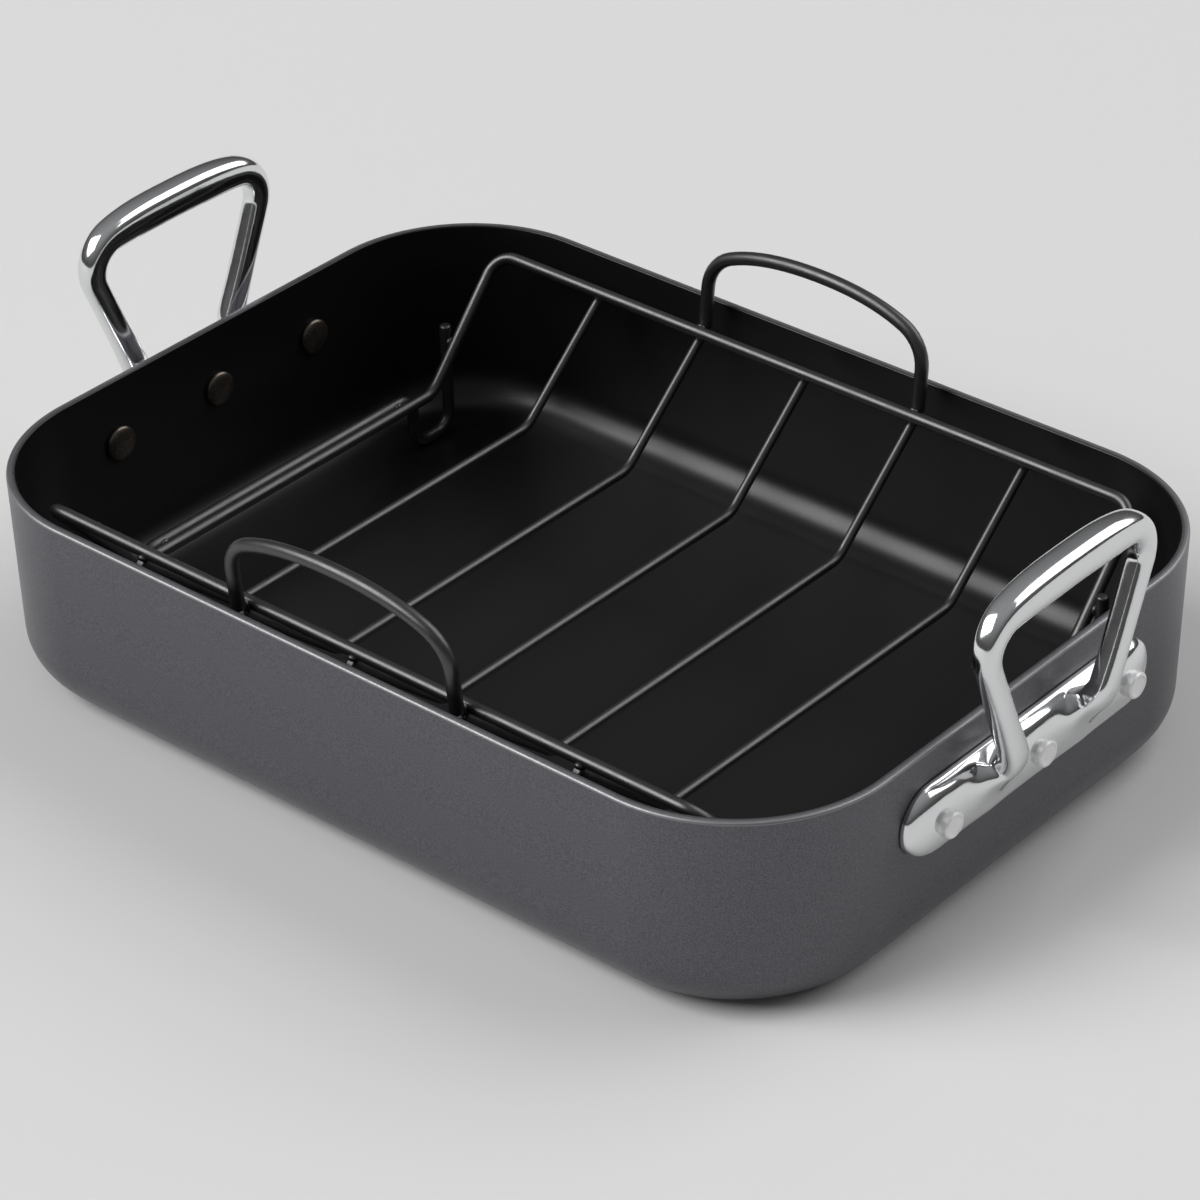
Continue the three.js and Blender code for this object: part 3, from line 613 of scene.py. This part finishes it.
# Lifting handles: one arch of thicker wire on each rail, leaning out a little so a hand can take it.
# Each leg is welded to the outside of the rail, just above the end of a cross wire.
LIFT_WIRE = 5.6
LIFT_ABOVE_RAIL, LIFT_CROWN, LIFT_BEND = 40.0, 11.5, 17.0
LIFT_LEAN = math.radians(6)
LIFT_STEPS = 10
lift_side = 2 * end_x / (CROSS_COUNT + 1)
lift_y = rail_y + (FRAME_WIRE + LIFT_WIRE) / 2 + WELD_GAP
lift_toe = cross_top[1] + CROSS_WIRE / 2 + WELD_GAP - rail_z
lift_arch = np.array([0.0, 0.0, LIFT_ABOVE_RAIL])
lift_crown = np.array([lift_side / 2, 0.0, LIFT_ABOVE_RAIL])
lift_shoulder = np.array([lift_side, 0.0, LIFT_ABOVE_RAIL - LIFT_CROWN])
lift_bend = round_corner(lift_crown, lift_shoulder, np.array([lift_side, 0.0, lift_toe]), LIFT_BEND)
lift_heights = (lift_bend[-1, 2] - NEAR_BEND, lift_toe + NEAR_BEND, lift_toe)
lift_leg = np.array([[lift_side, 0.0, z] for z in lift_heights])
lift_half = np.vstack([bowed(lift_arch, lift_crown, lift_bend[0], LIFT_STEPS), lift_bend[1:], lift_leg])
lift_line = np.vstack([lift_half[:0:-1] * [-1, 1, 1], lift_half])
lift_rings = wire_rings(lift_line, LIFT_WIRE, (0, 1, 0))
for side, sign in (("front", -1), ("back", 1)):
    lean = np.array([[1, 0, 0], [0, math.cos(LIFT_LEAN), sign * math.sin(LIFT_LEAN)],
                     [0, -sign * math.sin(LIFT_LEAN), math.cos(LIFT_LEAN)]])
    leaned = lift_rings @ lean.T + [0, sign * lift_y, rail_z]
    hang_on_rack(skin(f"wire_lift_{side}", leaned), f"rack_handle_{side}")

# Welds: where two wires of the rack touch, the spot weld leaves a small swelling of fused metal
# that fills the corner between them, under the same coating.
WELD_HALF_THICKNESS, WELD_HALF_WIDTH = 1.5, 2.3
WELD_REACH = 0.46
WELD_SIDES, WELD_STEPS = 20, 10
FOOT_WELD_INSET = 3.0
ASKEW = (0.3, 0.5, 0.81)
WELD_SHARP_EDGE = math.radians(80)
weld_x = end_x + (FRAME_WIRE + WELD_GAP) / 2
weld_spots = []
for sign in (-1, 1):
    across = np.array([sign, 1])
    under = np.array([rail_y, rail_z]) + cross_normal * (FRAME_WIRE + WELD_GAP) / 2
    beside = np.array([lift_y - (LIFT_WIRE + WELD_GAP) / 2, rail_z])
    for spot, thin, places in ((under, cross_normal, cross_x), (beside, (1, 0), (-lift_side, lift_side))):
        weld_spots += [((x, *(spot * across)), (0, *(thin * across))) for x in places]
    for y, z in ((foot_outer, foot_weld_z), (foot_inner - FOOT_BEND - FOOT_WELD_INSET, bottom_z)):
        weld_spots += [((x, sign * y, z), (1, 0, 0)) for x in (-weld_x, weld_x)]
weld_at, weld_thin = (np.array(part, float)[:, None, None] for part in zip(*weld_spots))
weld_first = np.cross(weld_thin, ASKEW)
weld_first /= np.linalg.norm(weld_first, axis=-1)[..., None]
weld_second = np.cross(weld_thin, weld_first)
rise = np.linspace(-WELD_REACH, WELD_REACH, WELD_STEPS)[:, None, None] * math.pi
angle = np.arange(WELD_SIDES)[:, None] * 2 * math.pi / WELD_SIDES
weld_spoke = weld_first * np.cos(angle) + weld_second * np.sin(angle)
weld_rings = (weld_at + weld_thin * WELD_HALF_THICKNESS * np.sin(rise)
              + weld_spoke * WELD_HALF_WIDTH * np.cos(rise))
welds = skin("wire_welds", weld_rings, sharp=WELD_SHARP_EDGE)
welds.data.materials.append(coating)
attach(welds, "rack")

# Studio: a plain pale floor, a large soft lamp high in front on the left, a wider and weaker one behind
# on the right, and a grey surround that grows lighter upwards.
FLOOR_PALE = (0.68, 0.68, 0.675, 1)
FLOOR_HALF, FLOOR_DROP = 24.0, 0.0002
LAMP_AIM = (0, 0, 0.05)
SURROUND_LOW, SURROUND_HIGH = (0.05, 0.05, 0.051, 1), (0.30, 0.302, 0.305, 1)
floor_mesh = bpy.data.meshes.new("studio_floor")
floor_corners = np.array([(-1, -1, 0), (1, -1, 0), (1, 1, 0), (-1, 1, 0)]) * FLOOR_HALF - [0, 0, FLOOR_DROP]
floor_mesh.from_pydata(floor_corners.tolist(), [], [(0, 1, 2, 3)])
floor = bpy.data.objects.new("studio_floor", floor_mesh)
bpy.context.scene.collection.objects.link(floor)
pale, tree, shader = finish("pale_floor", FLOOR_PALE, metallic=0.0)
shader.inputs["Roughness"].default_value = 0.75
floor_mesh.materials.append(pale)


def placed(right, up, back, at):
    """The matrix that stands a thing at a point, with its own axes along right, up and back."""
    return Matrix(np.vstack([np.column_stack([right, up, back, at]), [0, 0, 0, 1]]))


def lamp(name, at, size, watts):
    """A square soft lamp at a point, turned to shine on the pan."""
    light = bpy.data.lights.new(name, "AREA")
    light.shape = "SQUARE"
    light.size = size
    light.energy = watts
    back = np.array(at, float) - LAMP_AIM
    back /= np.linalg.norm(back)
    right = np.cross((0.0, 1.0, 0.0), back)
    right /= np.linalg.norm(right)
    holder = bpy.data.objects.new(name, light)
    holder.matrix_world = placed(right, np.cross(back, right), back, at)
    bpy.context.scene.collection.objects.link(holder)


lamp("back_lamp", at=(5.6, 11.8, 11.8), size=16.0, watts=1750)
lamp("front_lamp", at=(-8.2, -9.9, 11.2), size=10.6, watts=2500)

world = bpy.data.worlds.new("grey_surround")
world.use_nodes = True
tree = world.node_tree
direction = tree.nodes.new("ShaderNodeTexCoord")
upward = tree.nodes.new("ShaderNodeSeparateXYZ")
tree.links.new(direction.outputs["Generated"], upward.inputs["Vector"])
sky = blend_colours(tree, upward.outputs["Z"], 0.05, 0.95, SURROUND_LOW, SURROUND_HIGH)
tree.links.new(sky, tree.nodes["Background"].inputs["Color"])
bpy.context.scene.world = world
bpy.context.scene.view_settings.view_transform = "Standard"

# Camera: the photograph's, a long lens above the front right corner, with the small roll
# that was fitted along with its place.
CAMERA_AT = (0.9243, -1.0608, 0.9426)
CAMERA_YAW, CAMERA_PITCH, CAMERA_ROLL = (math.radians(angle) for angle in (40.937, 32.788, -1.071))
CAMERA_LENS, CAMERA_SENSOR = 130.707, 36.0
CAMERA_NEAR, CAMERA_FAR = 0.05, 50.0
view = bpy.data.cameras.new("photo_camera")
view.lens, view.sensor_width = CAMERA_LENS, CAMERA_SENSOR
view.clip_start, view.clip_end = CAMERA_NEAR, CAMERA_FAR
back = np.array([math.sin(CAMERA_YAW) * math.cos(CAMERA_PITCH),
                 -math.cos(CAMERA_YAW) * math.cos(CAMERA_PITCH), math.sin(CAMERA_PITCH)])
right = np.array([math.cos(CAMERA_YAW), math.sin(CAMERA_YAW), 0.0])
up = np.cross(back, right)
rolled_right = math.cos(CAMERA_ROLL) * right + math.sin(CAMERA_ROLL) * up
rolled_up = math.cos(CAMERA_ROLL) * up - math.sin(CAMERA_ROLL) * right
camera = bpy.data.objects.new("photo_camera", view)
camera.matrix_world = placed(rolled_right, rolled_up, back, CAMERA_AT)
bpy.context.scene.collection.objects.link(camera)
bpy.context.scene.camera = camera
